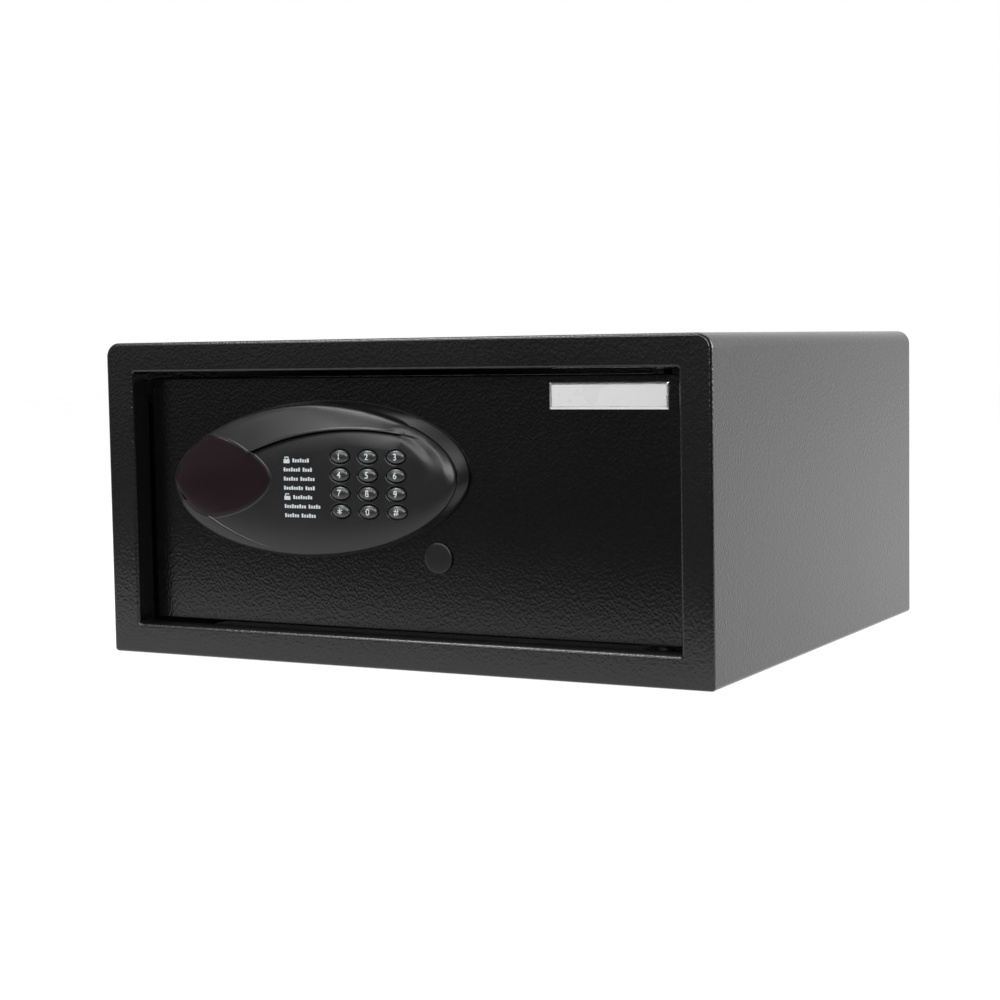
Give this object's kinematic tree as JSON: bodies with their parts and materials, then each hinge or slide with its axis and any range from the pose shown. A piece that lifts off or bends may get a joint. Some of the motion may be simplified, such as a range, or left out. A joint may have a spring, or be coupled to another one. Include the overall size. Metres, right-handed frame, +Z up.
{
  "type": "in room safe",
  "caption": "Low wide hotel room safe: black steel cabinet with a recessed side-hung door, an oval keypad panel with a smoked display window and a covered emergency lock.",
  "frame": {"origin": "middle of the cabinet's footprint, on the surface that it stands on", "axes": "+X along the front to the right, +Y towards the back, +Z up; the door faces -Y"},
  "size_m": [0.42, 0.37, 0.2],
  "materials": {
    "black_coat": "black powder coat, orange peel texture",
    "plain_steel": "plain turned steel",
    "zinc_steel": "zinc plated sheet and blocks",
    "brass": "turned brass",
    "panel_plastic": "satin black moulding",
    "key_plastic": "smooth dark keys with white figures",
    "black_plastic": "plain black moulding",
    "smoked_window": "dark red smoked window",
    "green_board": "circuit board lacquer",
    "grey_rubber": "matt silicone rubber",
    "felt_mat": "needle felt",
    "cell_wrap": "plain shrink sleeve",
    "red_plastic": "gloss red plastic"
  },
  "bodies": {
    "cabinet": {"cabinet_shell": "black_coat", "door_jamb": "black_coat", "back_panel": "black_coat", "floor_mat": "felt_mat", "bolt_keeper": "black_coat", "upper_hinge_bracket": "black_coat", "lower_hinge_bracket": "black_coat", "upper_hinge_pin": "plain_steel", "lower_hinge_pin": "plain_steel", "lower_bushing": "brass"},
    "door": {"door_plate": "black_coat", "hinge_bar": "black_coat", "upper_bushing": "brass", "upper_bolt_guide": "zinc_steel", "lower_bolt_guide": "zinc_steel", "gearbox": "zinc_steel", "drive_motor": "plain_steel", "guide_post_1": "plain_steel", "guide_post_2": "plain_steel", "inner_cover": "black_coat", "cover_screw_1": "plain_steel", "cover_screw_2": "plain_steel", "cover_screw_3": "plain_steel", "cover_screw_4": "plain_steel", "battery_tray": "black_plastic", "battery_1": "cell_wrap", "battery_2": "cell_wrap", "battery_3": "cell_wrap", "battery_4": "cell_wrap", "control_board": "green_board", "reset_switch": "black_plastic", "keypad_panel": "panel_plastic", "display_window": "smoked_window", "display_module": "red_plastic", "keyboard_card": "green_board", "key_mat": "grey_rubber", "lock_housing": "brass"},
    "bolt_carriage": {"bolt_carriage": "zinc_steel", "upper_bolt": "plain_steel", "lower_bolt": "plain_steel"},
    "drive_pinion": {"drive_pinion": "brass"},
    "battery_cover": {"battery_cover": "black_plastic"},
    "reset_button": {"reset_button": "red_plastic"},
    "lock_core": {"lock_core": "plain_steel"},
    "lock_cover": {"lock_cover": "black_plastic"},
    "key_1": {"key_1": "key_plastic"},
    "key_2": {"key_2": "key_plastic"},
    "key_3": {"key_3": "key_plastic"},
    "key_4": {"key_4": "key_plastic"},
    "key_5": {"key_5": "key_plastic"},
    "key_6": {"key_6": "key_plastic"},
    "key_7": {"key_7": "key_plastic"},
    "key_8": {"key_8": "key_plastic"},
    "key_9": {"key_9": "key_plastic"},
    "key_star": {"key_star": "key_plastic"},
    "key_0": {"key_0": "key_plastic"},
    "key_hash": {"key_hash": "key_plastic"}
  },
  "joints": [
    {"name": "door_hinge", "type": "hinge", "parent": "cabinet", "child": "door", "pos_m": [0.168, -0.1557, 0.099], "axis": [0, 0, 1], "range_deg": [0, 100]},
    {"name": "bolt_slide", "type": "slide", "parent": "door", "child": "bolt_carriage", "axis": [-1, 0, 0], "range_m": [0, 0.013]},
    {"name": "pinion_spin", "type": "hinge", "parent": "door", "child": "drive_pinion", "pos_m": [-0.095, -0.1395, 0.08225], "axis": [0, -1, 0], "range_deg": [0, 124.3]},
    {"name": "lock_turn", "type": "hinge", "parent": "door", "child": "lock_core", "pos_m": [0.0249, -0.1525, 0.067], "axis": [0, 1, 0], "range_deg": [0, 90]},
    {"name": "lock_cover_pull", "type": "slide", "parent": "door", "child": "lock_cover", "axis": [0, -1, 0], "range_m": [0, 0.012]},
    {"name": "battery_cover_slide", "type": "slide", "parent": "door", "child": "battery_cover", "axis": [1, 0, 0], "range_m": [0, 0.024]},
    {"name": "reset_press", "type": "slide", "parent": "door", "child": "reset_button", "axis": [0, -1, 0], "range_m": [0, 0.0012], "stiffness_N_per_m": 300},
    {"name": "key_1_press", "type": "slide", "parent": "door", "child": "key_1", "axis": [0, 1, 0], "range_m": [0, 0.0008], "stiffness_N_per_m": 300},
    {"name": "key_2_press", "type": "slide", "parent": "door", "child": "key_2", "axis": [0, 1, 0], "range_m": [0, 0.0008], "stiffness_N_per_m": 300},
    {"name": "key_3_press", "type": "slide", "parent": "door", "child": "key_3", "axis": [0, 1, 0], "range_m": [0, 0.0008], "stiffness_N_per_m": 300},
    {"name": "key_4_press", "type": "slide", "parent": "door", "child": "key_4", "axis": [0, 1, 0], "range_m": [0, 0.0008], "stiffness_N_per_m": 300},
    {"name": "key_5_press", "type": "slide", "parent": "door", "child": "key_5", "axis": [0, 1, 0], "range_m": [0, 0.0008], "stiffness_N_per_m": 300},
    {"name": "key_6_press", "type": "slide", "parent": "door", "child": "key_6", "axis": [0, 1, 0], "range_m": [0, 0.0008], "stiffness_N_per_m": 300},
    {"name": "key_7_press", "type": "slide", "parent": "door", "child": "key_7", "axis": [0, 1, 0], "range_m": [0, 0.0008], "stiffness_N_per_m": 300},
    {"name": "key_8_press", "type": "slide", "parent": "door", "child": "key_8", "axis": [0, 1, 0], "range_m": [0, 0.0008], "stiffness_N_per_m": 300},
    {"name": "key_9_press", "type": "slide", "parent": "door", "child": "key_9", "axis": [0, 1, 0], "range_m": [0, 0.0008], "stiffness_N_per_m": 300},
    {"name": "key_star_press", "type": "slide", "parent": "door", "child": "key_star", "axis": [0, 1, 0], "range_m": [0, 0.0008], "stiffness_N_per_m": 300},
    {"name": "key_0_press", "type": "slide", "parent": "door", "child": "key_0", "axis": [0, 1, 0], "range_m": [0, 0.0008], "stiffness_N_per_m": 300},
    {"name": "key_hash_press", "type": "slide", "parent": "door", "child": "key_hash", "axis": [0, 1, 0], "range_m": [0, 0.0008], "stiffness_N_per_m": 300}
  ],
  "couplings": [
    {"joint": "pinion_spin", "follows": "bolt_slide", "rad_per_m": 166.67}
  ]
}
